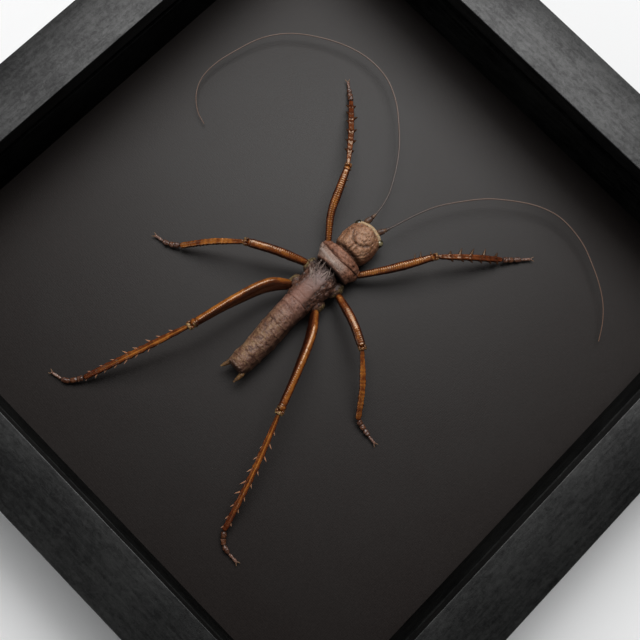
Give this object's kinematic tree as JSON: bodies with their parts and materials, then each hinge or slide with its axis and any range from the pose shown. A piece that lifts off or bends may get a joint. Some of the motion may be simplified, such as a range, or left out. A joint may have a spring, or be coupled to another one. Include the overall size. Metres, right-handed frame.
{
  "type": "framed cricket specimen",
  "caption": "Square black wooden box frame with a large spiny-legged wingless cricket mounted on a charcoal board under glass, to lie flat, stand or hang on a wall.",
  "frame": {"origin": "middle of the frame's back face, on the plane of the rails' backs", "axes": "+Z out through the glass, +Y along the insect from tail to head, which is the frame's top edge when it hangs, +X to the right"},
  "size_m": [0.2, 0.2, 0.035],
  "materials": {
    "black_wood": "open-grained wood stained black, with a thin satin lacquer that shows the pores",
    "clear_glass": "clear picture glass, polished",
    "charcoal_paper": "matte charcoal paper with a fine linen tooth, laid on board",
    "hardboard": "raw brown hardboard, dull and slightly fuzzy",
    "spring_steel": "plain zinc-plated steel strip",
    "brown_cuticle": "dried matte insect skin, mottled mauve and brown",
    "pale_cuticle": "dried insect skin, pinkish tan with a soft sheen",
    "amber_cuticle": "glossy translucent orange-brown insect shell",
    "dark_amber_cuticle": "satin dark red-brown insect shell with dull pads",
    "antenna_tan": "thin ringed tan feeler, satin"
  },
  "bodies": {
    "root": {"frame_rail_bottom": "black_wood", "frame_rail_right": "black_wood", "frame_rail_top": "black_wood", "frame_rail_left": "black_wood", "spacer_bottom": "black_wood", "spacer_right": "black_wood", "spacer_top": "black_wood", "spacer_left": "black_wood", "glass_pane": "clear_glass", "backing_board": "charcoal_paper", "back_panel": "hardboard", "spring_point_bottom_1": "spring_steel", "spring_point_bottom_2": "spring_steel", "spring_point_right_1": "spring_steel", "spring_point_right_2": "spring_steel", "spring_point_top_1": "spring_steel", "spring_point_top_2": "spring_steel", "spring_point_left_1": "spring_steel", "spring_point_left_2": "spring_steel", "sawtooth_hanger": "spring_steel", "head": "pale_cuticle", "pronotum": "pale_cuticle", "thorax": "brown_cuticle", "abdomen": "brown_cuticle", "left_cercus": "brown_cuticle", "right_cercus": "brown_cuticle", "left_antenna": "antenna_tan", "right_antenna": "antenna_tan", "left_fore_femur": "amber_cuticle", "left_fore_tibia": "amber_cuticle", "left_fore_tarsus": "dark_amber_cuticle", "right_fore_femur": "amber_cuticle", "right_fore_tibia": "amber_cuticle", "right_fore_tarsus": "dark_amber_cuticle", "left_middle_femur": "amber_cuticle", "left_middle_tibia": "amber_cuticle", "left_middle_tarsus": "dark_amber_cuticle", "right_middle_femur": "amber_cuticle", "right_middle_tibia": "amber_cuticle", "right_middle_tarsus": "dark_amber_cuticle", "left_hind_femur": "amber_cuticle", "left_hind_tibia": "amber_cuticle", "left_hind_tarsus": "dark_amber_cuticle", "right_hind_femur": "amber_cuticle", "right_hind_tibia": "amber_cuticle", "right_hind_tarsus": "dark_amber_cuticle"}
  },
  "joints": []
}
